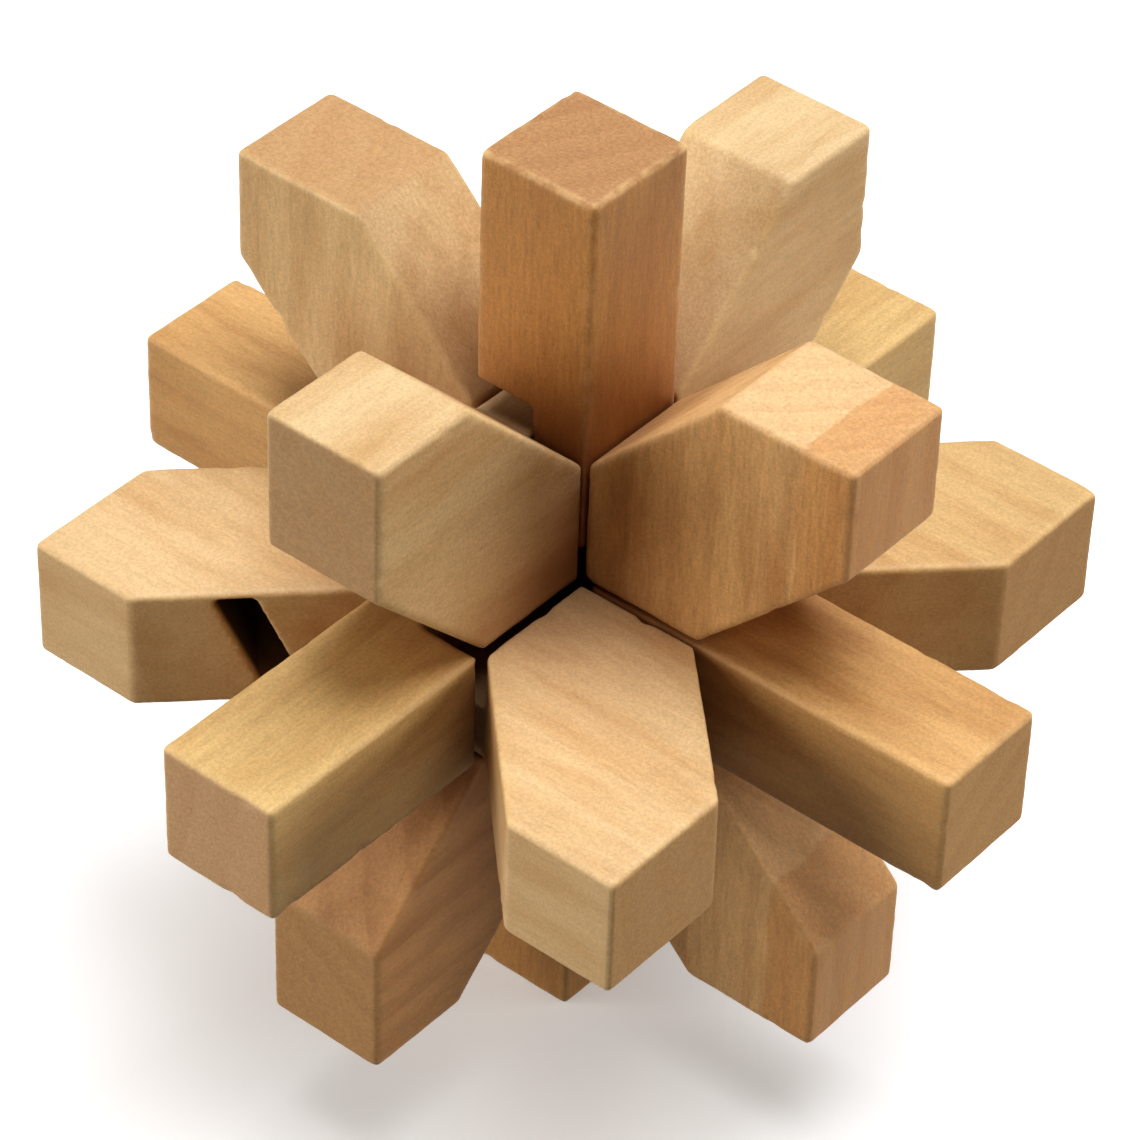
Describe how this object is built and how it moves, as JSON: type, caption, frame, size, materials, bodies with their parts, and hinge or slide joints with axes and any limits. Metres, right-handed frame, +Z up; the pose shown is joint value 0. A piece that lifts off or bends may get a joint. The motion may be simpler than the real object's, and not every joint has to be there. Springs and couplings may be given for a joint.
{
  "type": "wooden burr puzzle",
  "caption": "Interlocking wooden burr puzzle: notched square sticks cross inside winged bars whose square tips radiate as a star; the bottom bar is the key.",
  "frame": {"origin": "the point where the three sticks cross, at the centre of the puzzle", "axes": "+Z up along the upright stick, +X to the right along the side-to-side stick, +Y to the back along the front-to-back stick"},
  "size_m": [0.073, 0.073, 0.073],
  "materials": {
    "pale_wood": "bare sanded hardwood, pale straw",
    "tan_wood": "bare sanded hardwood, light tan",
    "rosy_wood": "bare sanded hardwood, pinkish brown with streaks",
    "brown_wood": "bare sanded hardwood, greyer brown"
  },
  "bodies": {
    "cage": {"top_winged_bar": "pale_wood", "front_winged_bar": "pale_wood", "back_winged_bar": "tan_wood", "left_winged_bar": "tan_wood", "right_winged_bar": "rosy_wood"},
    "key_bar": {"bottom_winged_bar": "brown_wood"},
    "upright": {"upright_stick": "rosy_wood"},
    "front_to_back": {"front_to_back_stick": "tan_wood"},
    "side_to_side": {"side_to_side_stick": "tan_wood"}
  },
  "joints": [
    {"name": "key_shift", "type": "slide", "parent": "cage", "child": "key_bar", "axis": [-1, 0, 0], "range_m": [0, 0.005]},
    {"name": "upright_play", "type": "slide", "parent": "cage", "child": "upright", "axis": [0, 0, 1], "range_m": [-0.0023, 0.0023]},
    {"name": "front_to_back_play", "type": "slide", "parent": "cage", "child": "front_to_back", "axis": [0, 1, 0], "range_m": [-0.0006, 0.0006]},
    {"name": "side_to_side_play", "type": "slide", "parent": "cage", "child": "side_to_side", "axis": [1, 0, 0], "range_m": [-0.0006, 0.0006]}
  ]
}
